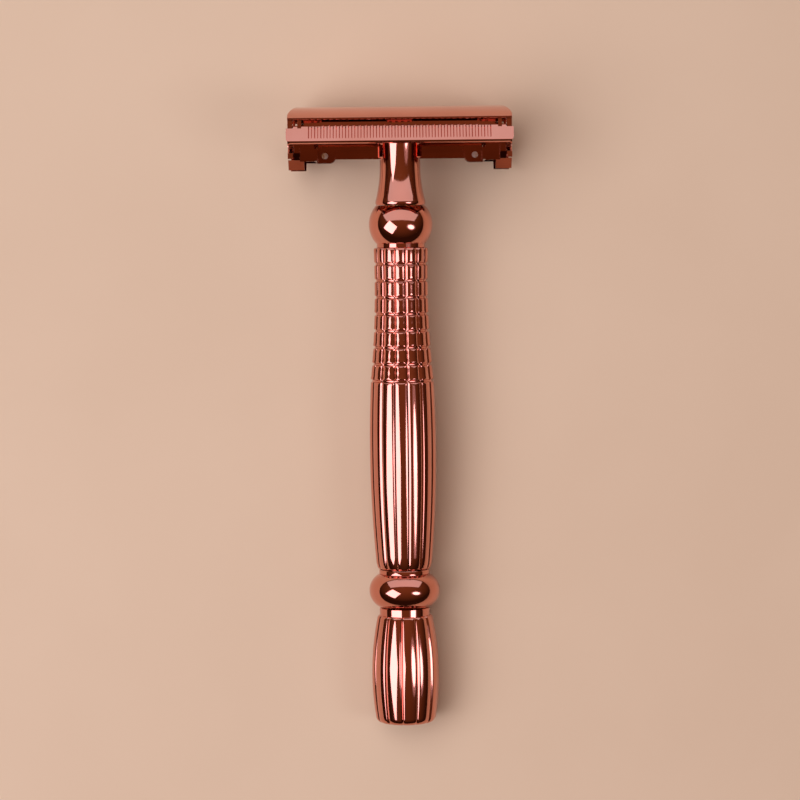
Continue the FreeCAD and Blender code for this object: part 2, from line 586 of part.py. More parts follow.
def door(face):
    """Half of the cap: a curved shell with an ear at each end that hangs on the hinge pins."""
    bend = (DOOR_REACH ** 2 + 2.4 ** 2) / 4.8
    middle = DOOR_TOP - bend

    def skin(y, inset):
        """Height of the outer skin, or of the inner one when inset is the wall."""
        return middle + math.sqrt((bend - inset) ** 2 - y ** 2)

    outer = [
        (SEAM, skin(SEAM, 0)), (5.5, skin(5.5, 0), "mid"), (DOOR_REACH, skin(DOOR_REACH, 0)),
        (DOOR_REACH - 0.02, EDGE + 0.1), (DOOR_REACH - 0.12, EDGE)]
    shell = along_x(outer + [
        (9.8, EDGE), (9.45, skin(9.45, DOOR_WALL)), (5, skin(5, DOOR_WALL), "mid"),
        (SEAM, skin(SEAM, DOOR_WALL))], -DOOR_HALF, DOOR_HALF)
    ends = []
    for side in SIDES.values():
        ends.append(along_x(outer + [(6.3, EDGE), (6.3, 118.6), (SEAM, 118.6)],
                            *span(EAR_IN, DOOR_HALF, side)))
        ends.append(ear(side))
    shape = fused([shell] + ends)
    wide, high = DOOR_CORNER
    bow = 1 - math.sqrt(0.5)
    frontal = [
        (-DOOR_HALF, 109), (-DOOR_HALF, DOOR_TOP - high),
        (wide * bow - DOOR_HALF, DOOR_TOP - high * bow, "mid"), (wide - DOOR_HALF, DOOR_TOP + 0.01),
        (DOOR_HALF - wide, DOOR_TOP + 0.01), (DOOR_HALF - wide * bow, DOOR_TOP - high * bow, "mid"),
        (DOOR_HALF, DOOR_TOP - high), (DOOR_HALF, 109)]
    shape = shape.common(along_y(frontal, 0, 13))
    slot = cam_slot()
    cutters = []
    for side in SIDES.values():
        cutters.append(mirror_x(slot, side))
        cutters.append(rod(HINGE_PIN_R + RUN_GAP, Vector(side * 20, HINGE_Y, HINGE_Z),
                           Vector(side * 22, HINGE_Y, HINGE_Z)))
    return mirror_y(shape.cut(cutters), face)


def ear(side):
    """Rear door's end plate, from the cap down round the hinge and the cam slot."""
    x = span(EAR_IN, DOOR_HALF, side)
    disc = rod(EAR_REACH, Vector(x[0], HINGE_Y, HINGE_Z), Vector(x[1], HINGE_Y, HINGE_Z))
    disc = disc.common(box(x, (4, HINGE_Y + 0.3), (109, HINGE_Z + 2.4)))
    boss = rod(1.3, Vector(x[0], HINGE_Y, HINGE_Z), Vector(x[1], HINGE_Y, HINGE_Z))
    web = box(x, (6.3, HINGE_Y + 0.3), (HINGE_Z, EDGE + 0.6))
    return fused([disc, boss, web])


# ------------------------------------------------------------------------------ laying it down
def lean():
    """Angle between the handle's axis and the table, with the guard and the knob touching it."""
    centre_r, centre_z = KNOB_R - KNOB_BEND, KNOB_MID
    drop, reach = GUARD_TIP - centre_r, GUARD_TIP_Z - centre_z
    return math.atan2(drop, reach) - math.asin(KNOB_BEND / math.hypot(drop, reach))


def tipped(shape):
    """The shape tipped from upright on to its back, about the knob's base."""
    return shape.rotated(Vector(), ALONG, math.degrees(lean()) - 90)


def lay_down(parts):
    """All pieces tipped over and moved so that the origin is under the middle of their box."""
    laid = {name: tipped(shape) for name, shape in parts.items()}
    boxes = [shape.optimalBoundingBox(False) for shape in laid.values()]
    back = min(limits.YMin for limits in boxes)
    ahead = max(limits.YMax for limits in boxes)
    ground = min(limits.ZMin for limits in boxes)
    move = Vector(0, -(back + ahead) / 2, -ground)
    return {name: shape.translated(move) for name, shape in laid.items()}


def all_parts():
    """Every piece of the razor by its node name."""
    parts = {
        "twist_knob": twist_knob(), "drive_rod": drive_rod(), "lower_bead": lower_bead(),
        "grip_sleeve": grip_sleeve(), "upper_bead": upper_bead(), "neck": neck(),
        "inner_tube": inner_tube(), "rod_bush": rod_bush(), "thrust_washer": thrust_washer(),
        "spring_washer": spring_washer(), "retaining_plug": retaining_plug(),
        "crosshead_stem": crosshead_stem(), "crosshead_bar": crosshead_bar(),
        "base_plate": base_plate(), "blade_bridge": blade_bridge()}
    for face_name, face in FACES.items():
        parts[f"door_{face_name}"] = door(face)
    for side_name, side in SIDES.items():
        parts[f"carrier_{side_name}"] = carrier(side)
        parts[f"carrier_rivet_{side_name}"] = carrier_rivet(side)
        parts[f"bridge_rivet_{side_name}"] = bridge_rivet(side)
        for face_name, face in FACES.items():
            parts[f"hinge_pin_{face_name}_{side_name}"] = hinge_pin(side, face)
            parts[f"cam_stud_{face_name}_{side_name}"] = cam_stud(side, face)
    return parts


def main():
    """Writes one STEP file per piece."""
    os.makedirs("parts", exist_ok=True)
    for name, solid in lay_down(all_parts()).items():
        if not solid.isValid() or solid.Volume <= 0:
            raise ValueError(f"{name} is not a sound solid")
        solid.exportStep(f"parts/{name}.step")
        print(name, round(solid.Volume, 2), len(solid.Solids))


if __name__ == "__main__":
    main()
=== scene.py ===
"""A twist-to-open safety razor in rose-gold plate, lying on a table.

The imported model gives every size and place. The round pieces of the handle are turned again here
with rounded edges, the flat pieces of the head get softened edges, and every piece gets its finish.
"""

import json
import logging
import math
from dataclasses import dataclass
from enum import Enum
from typing import Callable

import bpy
from mathutils import Matrix, Quaternion, Vector


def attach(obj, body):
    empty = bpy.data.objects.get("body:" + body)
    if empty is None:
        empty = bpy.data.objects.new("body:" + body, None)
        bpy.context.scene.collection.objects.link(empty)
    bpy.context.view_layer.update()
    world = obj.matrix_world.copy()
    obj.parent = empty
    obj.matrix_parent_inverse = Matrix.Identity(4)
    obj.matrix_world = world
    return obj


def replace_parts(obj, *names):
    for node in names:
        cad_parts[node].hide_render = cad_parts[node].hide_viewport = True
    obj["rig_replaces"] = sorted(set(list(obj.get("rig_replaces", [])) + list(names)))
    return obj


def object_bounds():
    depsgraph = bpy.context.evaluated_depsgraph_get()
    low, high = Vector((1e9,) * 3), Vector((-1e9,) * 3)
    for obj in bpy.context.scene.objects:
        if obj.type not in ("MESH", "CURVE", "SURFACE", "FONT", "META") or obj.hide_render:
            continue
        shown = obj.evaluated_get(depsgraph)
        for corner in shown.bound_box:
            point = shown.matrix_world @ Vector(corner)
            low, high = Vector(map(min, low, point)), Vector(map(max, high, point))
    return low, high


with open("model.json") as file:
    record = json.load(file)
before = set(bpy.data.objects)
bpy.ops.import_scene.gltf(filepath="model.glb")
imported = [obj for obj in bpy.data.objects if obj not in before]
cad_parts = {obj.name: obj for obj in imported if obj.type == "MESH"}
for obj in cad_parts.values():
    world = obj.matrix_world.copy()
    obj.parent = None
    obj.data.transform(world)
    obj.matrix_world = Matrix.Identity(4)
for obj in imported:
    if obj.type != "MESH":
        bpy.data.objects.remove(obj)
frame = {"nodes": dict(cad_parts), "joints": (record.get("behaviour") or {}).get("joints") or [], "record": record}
CAD_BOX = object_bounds()

LOG = logging.getLogger("safety_razor")
MM = 0.001
WELD = 0.002        # corners nearer than this, in millimetres, are one corner
FLAT_DEG = 1.0      # faces that meet at less than this are one face
Object = bpy.types.Object
Material = bpy.types.Material
Point = tuple[float, float]
Outline = list[Point]


# --------------------------------------------------------------------------- the razor's own frame
class RazorFrame:
    """The razor's own frame: Z runs up the handle from the knob's base, in millimetres."""

    def __init__(self, joints: list[dict]) -> None:
        """Reads the handle's axis from the knob's joint.

        Args:
            joints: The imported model's joints.
        """
        twist = next(joint for joint in joints if joint["name"] == "knob_twist")
        up = -Vector(twist["axis"]).normalized()
        along = Vector((1, 0, 0))
        back = up.cross(along)
        turn = Matrix((along, back, up)).transposed().to_4x4()
        self.to_row = Matrix.Translation(twist["pos_m"]) @ turn @ Matrix.Scale(MM, 4)
        self.from_row = self.to_row.inverted()

    def span(self, node: str) -> tuple[float, float]:
        """Lowest and highest place of a CAD node along the handle.

        Args:
            node: The node's name.

        Returns:
            The two places, in millimetres from the knob's base.
        """
        heights = [(self.from_row @ vertex.co).z for vertex in frame["nodes"][node].data.vertices]
        return min(heights), max(heights)


RAZOR = RazorFrame(frame["joints"])


# ------------------------------------------------------------------------------------ shader maths
class Socket:
    """A node's output that can be written in sums, as in ``0.2 + mask * 0.5``."""

    def __init__(self, shader: "Shader", output: bpy.types.NodeSocket) -> None:
        """Wraps an output.

        Args:
            shader: The shader that holds the node.
            output: The node's output socket.
        """
        self.shader = shader
        self.output = output

    def _maths(self, operation: str, first: object, second: object) -> "Socket":
        """One Math node on two values."""
        return self.shader.node("ShaderNodeMath", {"operation": operation}, {0: first, 1: second})

    def __add__(self, other: object) -> "Socket":
        """Sum."""
        return self._maths("ADD", self, other)

    def __radd__(self, other: object) -> "Socket":
        """Sum with a number on the left."""
        return self._maths("ADD", other, self)

    def __mul__(self, other: object) -> "Socket":
        """Product."""
        return self._maths("MULTIPLY", self, other)

    def __rmul__(self, other: object) -> "Socket":
        """Product with a number on the left."""
        return self._maths("MULTIPLY", other, self)


class Shader:
    """Builds one material's nodes."""

    def __init__(self, name: str) -> None:
        """Starts a material with an empty node tree.

        Args:
            name: The material's name.
        """
        self.material: Material = bpy.data.materials.new(name)
        self.material.use_nodes = True
        self.tree = self.material.node_tree
        self.tree.nodes.clear()

    def node(self, kind: str, settings: dict[str, object] | None = None,
             values: dict[object, object] | None = None, output: object = 0) -> Socket:
        """Adds a node, sets it up and fills its inputs.

        Args:
            kind: The node's type name.
            settings: Properties to set before anything else. ``stops`` is a ramp's list of
                (place, colour).
            values: Constants or links for its inputs, by name or index.
            output: The output to return, by name or index.

        Returns:
            The chosen output.
        """
        made = self.tree.nodes.new(kind)
        for key, value in (settings or {}).items():
            if key == "stops":
                self.set_stops(made.color_ramp, value)
            else:
                setattr(made, key, value)
        for key, value in (values or {}).items():
            if isinstance(value, Socket):
                self.tree.links.new(value.output, made.inputs[key])
            else:
                made.inputs[key].default_value = value
        return Socket(self, made.outputs[output])

    @staticmethod
    def set_stops(ramp: bpy.types.ColorRamp, stops: list[tuple[float, tuple]]) -> None:
        """Gives a ramp its stops."""
        while len(ramp.elements) < len(stops):
            ramp.elements.new(1.0)
        for element, (place, colour) in zip(ramp.elements, stops):
            element.position = place
            element.color = colour

    def place(self) -> Socket:
        """The point on the piece, in metres."""
        return self.node("ShaderNodeTexCoord", output="Object")

    def noise(self, size: float, detail: float = 3.0, stretch: Vector | None = None,
              roughness: float = 0.5) -> Socket:
        """Soft noise of a given grain.

        Args:
            size: The grain's size in metres.
            detail: How many finer layers are added.
            stretch: Scale of the pattern along each axis before the grain is applied.
            roughness: Strength of the finer layers.

        Returns:
            A value around a half.
        """
        point = self.place()
        if stretch is not None:
            point = self.node("ShaderNodeMapping", {}, {"Vector": point, "Scale": stretch})
        return self.node("ShaderNodeTexNoise", {}, {"Vector": point, "Scale": 1 / size, "Detail": detail,
                                                    "Roughness": roughness})

    def ramp(self, value: Socket, low: float, high: float) -> Socket:
        """Maps low..high of a value to a clamped 0..1."""
        return self.node("ShaderNodeMapRange", {"clamp": True},
                         {"Value": value, "From Min": low, "From Max": high, "To Min": 0.0, "To Max": 1.0})

    def mix(self, share: Socket, first: object, second: object) -> Socket:
        """Mixes two colours by a share from 0 to 1."""
        made = self.tree.nodes.new("ShaderNodeMix")
        made.data_type = "RGBA"
        self.tree.links.new(share.output, made.inputs[0])
        for socket, colour in ((made.inputs[6], first), (made.inputs[7], second)):
            if isinstance(colour, Socket):
                self.tree.links.new(colour.output, socket)
            else:
                socket.default_value = colour
        return Socket(self, made.outputs[2])

    def bump(self, height: Socket, depth: float, strength: float = 1.0,
             under: Socket | None = None) -> Socket:
        """A bump from a height of 0 to 1.

        Args:
            height: The height field.
            depth: The height's size in metres.
            strength: How strongly it tilts the surface.
            under: Another bump below this one.

        Returns:
            A normal.
        """
        values: dict[object, object] = {"Height": height, "Distance": depth, "Strength": strength}
        if under is not None:
            values["Normal"] = under
        return self.node("ShaderNodeBump", {}, values)

    def finish(self, values: dict[object, object]) -> Material:
        """Ends the material with a principled surface.

        Args:
            values: The surface's constants and links.

        Returns:
            The material.
        """
        surface = self.node("ShaderNodeBsdfPrincipled", {}, values)
        out = self.tree.nodes.new("ShaderNodeOutputMaterial")
        self.tree.links.new(surface.output, out.inputs["Surface"])
        return self.material


def colour(red: float, green: float, blue: float) -> tuple[float, float, float, float]:
    """An opaque linear colour."""
    return red, green, blue, 1.0


# ---------------------------------------------------------------------------------------- finishes
@dataclass(frozen=True)
class PlatedMirror:
    """Polished rose-gold plate: bright, with faint haze, wiped streaks and hairline scratches."""

    name: str = "rose_gold_plate"
    bright: tuple = colour(0.68, 0.275, 0.20)
    deep: tuple = colour(0.64, 0.245, 0.172)
    polish: float = 0.045
    haze: float = 0.07
    streak: float = 0.0000016
    cloud_size: float = 0.009
    wipe_size: float = 0.0009
    scratch_size: float = 0.00016
    ripple_size: float = 0.004

    def material(self) -> Material:
        """Builds the plate's material."""
        shader = Shader(self.name)
        cloud = shader.ramp(shader.noise(self.cloud_size, 4.0), 0.38, 0.66)
        wiped = shader.ramp(shader.noise(self.wipe_size, 3.0, Vector((1.0, 0.16, 1.0))), 0.45, 0.75)
        scratch = shader.noise(self.scratch_size, 2.0, Vector((1.0, 0.03, 1.0)), 0.7)
        ripple = shader.noise(self.ripple_size, 1.0)
        lift = shader.bump(scratch, self.streak, 0.35)
        wave = shader.bump(ripple, self.streak * 12, 0.5, lift)
        return shader.finish({
            "Base Color": shader.mix(cloud, self.bright, self.deep),
            "Metallic": 1.0,
            "Roughness": self.polish + cloud * self.haze * 0.5 + wiped * self.haze * 0.5,
            "Normal": wave,
        })


@dataclass(frozen=True)
class PlainSteel:
    """Ground steel of pins and washers."""

    name: str = "plain_steel"
    bright: tuple = colour(0.88, 0.85, 0.81)
    dull: tuple = colour(0.62, 0.59, 0.56)

    def material(self) -> Material:
        """Builds the steel's material."""
        shader = Shader(self.name)
        ground = shader.noise(0.00012, 3.0, Vector((0.15, 1.0, 1.0)), 0.6)
        stain = shader.ramp(shader.noise(0.0012, 3.0), 0.4, 0.7)
        return shader.finish({
            "Base Color": shader.mix(stain, self.bright, self.dull),
            "Metallic": 1.0,
            "Roughness": 0.22 + stain * 0.15,
            "Normal": shader.bump(ground, 0.000002, 0.5),
        })


@dataclass(frozen=True)
class TurnedBrass:
    """Unplated turned brass of the works inside."""

    name: str = "turned_brass"
    bright: tuple = colour(0.80, 0.58, 0.26)
    brown: tuple = colour(0.46, 0.29, 0.11)

    def material(self) -> Material:
        """Builds the brass's material."""
        shader = Shader(self.name)
        tarnish = shader.ramp(shader.noise(0.0022, 4.0), 0.42, 0.74)
        lathe = shader.noise(0.00009, 2.0, Vector((0.08, 1.0, 0.08)), 0.6)
        return shader.finish({
            "Base Color": shader.mix(tarnish, self.bright, self.brown),
            "Metallic": 1.0,
            "Roughness": 0.24 + tarnish * 0.25,
            "Normal": shader.bump(lathe, 0.000004, 0.6),
        })


@dataclass(frozen=True)
class TableTop:
    """Pale, smooth, slightly warm table."""

    name: str = "pale_table"
    light: tuple = colour(0.705, 0.565, 0.35)
    shade: tuple = colour(0.685, 0.545, 0.335)

    def material(self) -> Material:
        """Builds the table's material."""
        shader = Shader(self.name)
        cloud = shader.ramp(shader.noise(0.05, 3.0), 0.35, 0.65)
        return shader.finish({
            "Base Color": shader.mix(cloud, self.light, self.shade),
            "Roughness": 0.55,
            "Specular IOR Level": 0.35,
        })


# ------------------------------------------------------------------------------- modelling by hand
def deselect() -> None:
    """Leaves nothing selected."""
    if bpy.context.mode != "OBJECT":
        bpy.ops.object.mode_set(mode="OBJECT")
    bpy.ops.object.select_all(action="DESELECT")


def pick(piece: Object) -> None:
    """Selects one object alone and makes it active."""
    deselect()
    piece.select_set(True)
    bpy.context.view_layer.objects.active = piece


def select_only(piece: Object, members: list[int]) -> None:
    """Selects the given vertices of an object in edit mode, and nothing else."""
    bpy.ops.mesh.select_all(action="DESELECT")
    bpy.ops.object.mode_set(mode="OBJECT")
    for index in members:
        piece.data.vertices[index].select = True
    bpy.ops.object.mode_set(mode="EDIT")
    bpy.ops.mesh.select_mode(type="VERT")


def settle(piece: Object, smooth_deg: float = 35.0) -> Object:
    """Moves a piece drawn in the razor's own frame to its place, with the place kept in its mesh.

    Args:
        piece: The piece, in millimetres.
        smooth_deg: Edges flatter than this are shaded smooth.

    Returns:
        The same piece.
    """
    pick(piece)
    piece.matrix_world = RAZOR.to_row
    bpy.ops.object.transform_apply(location=True, rotation=True, scale=True)
    bpy.ops.object.shade_smooth_by_angle(angle=math.radians(smooth_deg))
    return piece


def arc(start: Point, end: Point, bend: float, steps: int) -> Outline:
    """Points along a circular arc between two (radius, height) points, both left out.

    Args:
        start: First point.
        end: Last point.
        bend: Height of the arc over its chord, to the right of the way from start to end.
        steps: Number of straight runs that stand for it.

    Returns:
        The points between the two ends.
    """
    first, last = Vector(start), Vector(end)
    chord = last - first
    side = Vector((chord.y, -chord.x)).normalized()
    half = chord.length / 2
    radius = (half * half + bend * bend) / (2 * bend)
    centre = (first + last) / 2 + side * (bend - radius)
    from_angle = math.atan2(first.y - centre.y, first.x - centre.x)
    to_angle = math.atan2(last.y - centre.y, last.x - centre.x)
    sweep = (to_angle - from_angle + math.pi) % math.tau - math.pi
    points = []
    for index in range(1, steps):
        angle = from_angle + sweep * index / steps
        points.append((centre.x + abs(radius) * math.cos(angle), centre.y + abs(radius) * math.sin(angle)))
    return points


def bow(bend: float, away: float) -> float:
    """How far a bow of the given radius falls, some way from its middle."""
    return bend - math.sqrt(bend ** 2 - away ** 2)


@dataclass(frozen=True)
class Ribs:
    """Rounded ribs round a turned piece, parted by narrow grooves, in millimetres.

    Attributes:
        count: Number of ribs.
        turn_deg: Angle from the front to the nearest rib.
        body: Radius of the piece at a rib's crest.
        crown: How far a rib falls from its crest to its edge.
        groove: Depth of the groove between two ribs.
        groove_share: Share of a rib's half width that the groove takes.
        steps: Faces across each rib.
        waist: Height above which the ribs are rounder.
        waist_crown: The crown up there.
    """

    count: int
    turn_deg: float
    body: float
    crown: float
    groove: float
    groove_share: float = 0.24
    steps: int = 24
    waist: float = math.inf
    waist_crown: float = 0.0

    @property
    def segments(self) -> int:
        """Faces round the whole piece."""
        return self.count * self.steps

    def share(self, step: int, at_waist: bool) -> float:
        """Distance of the surface from the axis, step faces from a crest, as a share of the crest's."""
        crown = self.waist_crown if at_waist else self.crown
        across = 2 * step / self.steps
        into = max(0.0, (across - 1 + self.groove_share) / self.groove_share)
        drop = crown * across ** 2 + self.groove * (1 - math.cos(math.pi * into)) / 2
        return 1 - drop / self.body

    def step_of(self, point: Vector) -> int:
        """How many faces a point lies from the nearest crest."""
        angle = math.atan2(point.y, point.x) + math.pi / 2 - math.radians(self.turn_deg)
        step = round(angle / math.tau * self.segments) % self.steps
        return min(step, self.steps - step)

    def press(self, piece: Object, cut_at: Callable[[float], float] = lambda height: 1.0) -> None:
        """Presses the ribs into a turned piece, in edit mode.

        Args:
            piece: The piece, with its faces in step with the ribs.
            cut_at: How deep a plain ring is cut at a height, as a share of the crest's radius. The
                ribs end where the ring is deeper than they are.
        """
        groups: dict[tuple[int, float, bool], list[int]] = {}
        bpy.ops.object.mode_set(mode="OBJECT")
        for vertex in piece.data.vertices:
            step = self.step_of(vertex.co)
            if step and math.hypot(vertex.co.x, vertex.co.y) > self.body * 0.6:
                key = (step, round(cut_at(vertex.co.z), 3), vertex.co.z > self.waist)
                groups.setdefault(key, []).append(vertex.index)
        bpy.ops.object.mode_set(mode="EDIT")
        for (step, cut, at_waist), members in groups.items():
            share = min(1.0, self.share(step, at_waist) / cut)
            if share < 1.0:
                select_only(piece, members)
                bpy.ops.transform.resize(value=(share, share, 1), center_override=(0, 0, 0))


def turned(name: str, outline: Outline, segments: int, turn_deg: float = 0.0) -> Object:
    """Turns an outline round the handle's axis, one ring at a time.

    Args:
        name: The piece's name.
        outline: (radius, height) points, from the bottom of the outside up and back down the bore.
        segments: Faces round the piece.
        turn_deg: Where the first corner stands, from the front.

    Returns:
        The piece, closed, in millimetres in the razor's own frame.
    """
    deselect()
    radius, height = outline[0]
    bpy.ops.mesh.primitive_circle_add(vertices=segments, radius=radius, location=(0, 0, height),
                                      rotation=(0, 0, math.radians(turn_deg - 90)))
    piece = bpy.context.object
    piece.name = name
    piece.data.name = name
    bpy.ops.object.transform_apply(location=True, rotation=True, scale=True)
    bpy.ops.object.mode_set(mode="EDIT")
    bpy.ops.mesh.select_all(action="SELECT")
    for next_radius, next_height in outline[1:]:
        bpy.ops.mesh.extrude_edges_move(TRANSFORM_OT_translate={"value": (0, 0, next_height - height)})
        grow = next_radius / radius
        bpy.ops.transform.resize(value=(grow, grow, 1), center_override=(0, 0, next_height))
        radius, height = next_radius, next_height
    bpy.ops.mesh.select_all(action="DESELECT")
    bpy.ops.mesh.select_non_manifold(extend=False)
    bpy.ops.mesh.bridge_edge_loops()
    bpy.ops.mesh.select_all(action="SELECT")
    bpy.ops.mesh.normals_make_consistent(inside=False)
    return piece


def softened(node: str, name: str, width: float = 0.09, segments: int = 2, angle_deg: float = 32.0) -> Object:
    """A copy of a CAD node with its edges rounded over.

    Args:
        node: The CAD node to copy.
        name: The new piece's name.
        width: Width of the rounding in millimetres.
        segments: Faces across the rounding.
        angle_deg: Edges flatter than this stay as they are.

    Returns:
        The piece, in its place, which stands for the node.
    """
    deselect()
    mesh = frame["nodes"][node].data.copy()
    mesh.name = name
    piece = bpy.data.objects.new(name, mesh)
    bpy.context.scene.collection.objects.link(piece)
    mesh.transform(RAZOR.from_row)
    mesh.materials.clear()
    pick(piece)
    bpy.ops.mesh.customdata_custom_splitnormals_clear()
    bpy.ops.object.mode_set(mode="EDIT")
    bpy.ops.mesh.select_all(action="SELECT")
    bpy.ops.mesh.remove_doubles(threshold=WELD)
    bpy.ops.mesh.dissolve_limited(angle_limit=math.radians(FLAT_DEG))
    bpy.ops.object.mode_set(mode="OBJECT")
    bevel = piece.modifiers.new("edge", "BEVEL")
    bevel.width = width
    bevel.segments = segments
    bevel.limit_method = "ANGLE"
    bevel.angle_limit = math.radians(angle_deg)
    bevel.miter_outer = "MITER_ARC"
    bpy.ops.object.modifier_apply(modifier=bevel.name)
    settle(piece, 40.0)
    weighted = piece.modifiers.new("flats", "WEIGHTED_NORMAL")
    weighted.mode = "FACE_AREA"
    weighted.weight = 100
    weighted.keep_sharp = True
    bpy.ops.object.modifier_apply(modifier=weighted.name)
    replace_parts(piece, node)
    return piece


# ------------------------------------------------------------------------------------- the handle
@dataclass
class Handle:
    """The handle's outer pieces, from the lower bead to the neck, in millimetres.

    Attributes:
        bore: Radius of the bore that fits the core tube.
        fine: Faces round a plain piece.
        bead_foot: Radius at which a bead begins and ends.
        bead_steps: Faces up a bead.
        lower_bead_size: Largest radius of the lower bead, and its height without its ring.
        upper_bead_size: The same of the upper bead.
        ring: Radius of the plain ring over the lower bead.
        slim_ring: Radius of the plain ring under the upper bead.
        barrel_radius: Radius of the grip's barrel at its fullest.
        barrel_middle: Height of that place.
        barrel_bend: Radius of the barrel's bow.
        barrel_start: Height of the barrel's first plain point over the grip's end.
        barrel_step: Height between two points on the barrel.
        barrel_steps: Number of those points.
        barrel_end: Distance of the barrel's last point from the waist.
        waist_foot: Height at which the waist begins.
        waist_radius: Radius of the waist at its slimmest.
        waist_middle: Height of that place.
        waist_bend: Radius of the waist's bow.
        pitch: Height of a ring of the waist.
        rings: Number of rings.
        ring_edge: Distance of a ring's first plain point from the middle of the groove.
        last_ring: Distances of the last ring's upper points from the grip's end.
        grip_foot: Drop from the surface and rise from the end, round the grip's lower edge.
        grip_top: Drop from the surface and distance from the end, round its upper edge.
        shoulder: Drop from the surface and distance from the middle, down into a ring's groove.
        neck_edge: Width of the neck's rounded edges, and the number of faces across them.
        ribs: The grip's ribs.
    """

    bore: float = 3.21
    fine: int = 96
    bead_foot: float = 4.82
    bead_steps: int = 26
    lower_bead_size: Point = (6.9, 6.55)
    upper_bead_size: Point = (6.2, 7.35)
    ring: float = 4.92
    slim_ring: float = 4.7
    barrel_radius: float = 6.55
    barrel_middle: float = 54.0
    barrel_bend: float = 242.0
    barrel_start: float = 1.2
    barrel_step: float = 1.5
    barrel_steps: int = 23
    barrel_end: float = 0.8
    waist_foot: float = 67.1
    waist_radius: float = 5.25
    waist_middle: float = 86.0
    waist_bend: float = 184.0
    pitch: float = 3.24
    rings: int = 8
    ring_edge: float = 0.9
    last_ring: Point = (1.4, 0.5)
    grip_foot: tuple[Point, ...] = ((0.75, 0.0), (0.42, 0.12), (0.2, 0.32), (0.06, 0.62), (0.0, 0.95))
    grip_top: tuple[Point, ...] = ((0.03, 0.26), (0.12, 0.09), (0.3, 0.0))
    shoulder: tuple[Point, ...] = ((0.0, 0.56), (0.03, 0.4), (0.09, 0.3), (0.19, 0.23), (0.3, 0.15),
                                   (0.34, 0.0))
    neck_edge: tuple[float, int] = (0.12, 3)
    ribs: Ribs = Ribs(count=14, turn_deg=-2.4, body=barrel_radius, crown=0.17, groove=0.12,
                      waist=waist_foot, waist_crown=0.34)

    def build(self) -> list[Object]:
        """Makes the handle's pieces.

        Returns:
            The finished pieces.
        """
        return [self.lower_bead(), self.grip(), self.upper_bead(), self.neck()]

    def lower_bead(self) -> Object:
        """Round bead under the grip, with a plain ring above it."""
        low, high = RAZOR.span("lower_bead")
        bulge, height = self.lower_bead_size
        foot, head = (self.bead_foot, low), (self.bead_foot, low + height)
        outline = [foot, *arc(foot, head, bulge - self.bead_foot, self.bead_steps), head,
                   (self.ring, low + height + 0.03), (self.ring, high - 0.12), (self.ring - 0.08, high),
                   (self.bore, high), (self.bore, low)]
        return self.finish(turned("lower_bead_round", outline, self.fine), "lower_bead")

    def upper_bead(self) -> Object:
        """Round bead over the grip, with a plain ring below it."""
        low, high = RAZOR.span("upper_bead")
        bulge, height = self.upper_bead_size
        foot, head = (self.bead_foot, high - height), (self.bead_foot, high)
        outline = [(self.slim_ring - 0.1, low), (self.slim_ring, low + 0.08),
                   (self.slim_ring, high - height - 0.03), foot,
                   *arc(foot, head, bulge - self.bead_foot, self.bead_steps), head,
                   (self.bore, high), (self.bore, low)]
        return self.finish(turned("upper_bead_round", outline, self.fine), "upper_bead")

    def grip(self) -> Object:
        """Ribbed barrel with the ribbed rings of the waist above it."""
        low, high = RAZOR.span("grip_sleeve")
        start = low + self.barrel_start
        heights = [start + index * self.barrel_step for index in range(self.barrel_steps)]
        heights.append(self.waist_foot - self.barrel_end)
        outline = [(self.barrel(low) - drop, low + rise) for drop, rise in self.grip_foot]
        outline += [(self.barrel(height), height) for height in heights]
        outline += self.ringed(high)
        outline += [(self.waist(high) - drop, high - fall) for drop, fall in self.grip_top]
        outline += [(self.bore, high), (self.bore, low)]
        piece = turned("grip_ribbed", outline, self.ribs.segments, self.ribs.turn_deg)
        self.ribs.press(piece, self.ring_cut)
        return self.finish(piece, "grip_sleeve")

    def ringed(self, high: float) -> Outline:
        """Outline of the waist, with a groove under each ring.

        Args:
            high: Height of the grip's upper end.

        Returns:
            The points up to where the upper edge begins to round.
        """
        outline: Outline = []
        for index in range(self.rings):
            joint = self.waist_foot + index * self.pitch
            top = joint + self.pitch
            heights = [joint + self.ring_edge, (joint + top) / 2, top - self.ring_edge]
            if index == self.rings - 1:
                heights[1:] = [high - fall for fall in self.last_ring]
            outline += self.groove(joint)
            outline += [(self.waist(height), height) for height in heights]
        return outline

    def barrel(self, height: float) -> float:
        """Radius of the grip's barrel at a height."""
        return self.barrel_radius - bow(self.barrel_bend, height - self.barrel_middle)

    def waist(self, height: float) -> float:
        """Radius of the ringed waist at a height."""
        return self.waist_radius + bow(self.waist_bend, height - self.waist_middle)

    def groove(self, height: float) -> Outline:
        """One groove between two rings, with rounded shoulders and a round floor."""
        surface = self.waist(height)
        below = [(surface - drop, height - half) for drop, half in self.shoulder]
        above = [(surface - drop, height + half) for drop, half in reversed(self.shoulder) if half]
        return below + above

    def ring_cut(self, height: float) -> float:
        """How deep the plain grooves between the rings are at a height, as a share of the radius."""
        above = height - self.waist_foot
        ring = min(max(round(above / self.pitch), 0), self.rings - 1)
        away = abs(above - ring * self.pitch)
        drop = max(drop for drop, half in self.shoulder if drop == 0 or away <= half + 0.01)
        return 1 - drop / self.waist_radius

    def neck(self) -> Object:
        """Flared neck with the lugs round its slot."""
        return softened("neck", "neck_soft", *self.neck_edge)

    def finish(self, piece: Object, node: str) -> Object:
        """Settles a turned piece that stands for a CAD node."""
        settle(piece)
        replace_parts(piece, node)
        return piece


